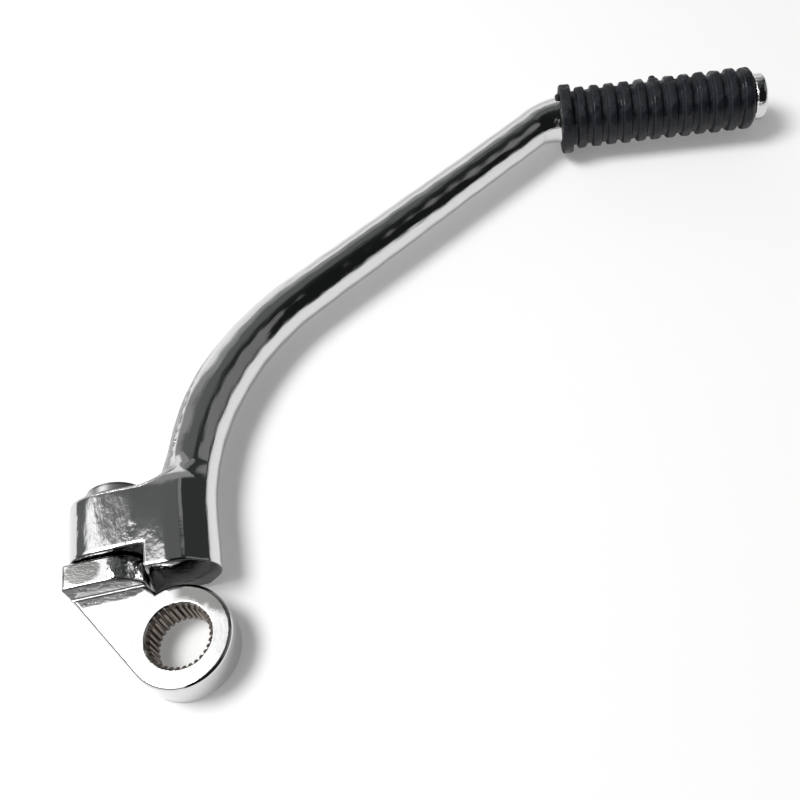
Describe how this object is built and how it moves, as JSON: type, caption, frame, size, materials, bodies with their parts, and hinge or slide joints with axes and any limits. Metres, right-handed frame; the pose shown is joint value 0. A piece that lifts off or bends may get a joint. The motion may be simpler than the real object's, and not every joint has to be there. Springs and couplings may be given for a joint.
{
  "type": "folding kick start lever",
  "caption": "Chromed folding kick start lever: a knuckle with a serrated bore and a stop lug, and a bent round arm that swings out of the way, with a ribbed rubber grip on its pedal.",
  "frame": {"origin": "on the axis of the serrated bore, at the knuckle's back face, which lies against the engine side", "axes": "+Z along the bore, away from the engine; +Y along the folding axis, from the knuckle to the arm; +X towards the pedal"},
  "size_m": [0.2263, 0.1701, 0.0218],
  "materials": {
    "knuckle_chrome": "bright chrome plate over a polished forging, rough where the lug was not polished",
    "arm_chrome": "bright chrome plate with the waves of hand polishing",
    "grip_rubber": "black moulded rubber, slightly satin",
    "bearing_steel": "ground ball",
    "spring_steel": "spring steel, lightly oiled",
    "plain_steel": "plain stamped washer"
  },
  "bodies": {
    "knuckle_body": {"knuckle": "knuckle_chrome", "detent_ball": "bearing_steel", "detent_spring": "spring_steel", "washer": "plain_steel", "retaining_ring": "spring_steel"},
    "arm_body": {"arm": "arm_chrome", "grip": "grip_rubber"}
  },
  "joints": [
    {"name": "arm_fold", "type": "hinge", "parent": "knuckle_body", "child": "arm_body", "pos_m": [-0.0154, 0.03, 0.0088], "axis": [0, -1, 0], "range_deg": [0, 100]}
  ]
}
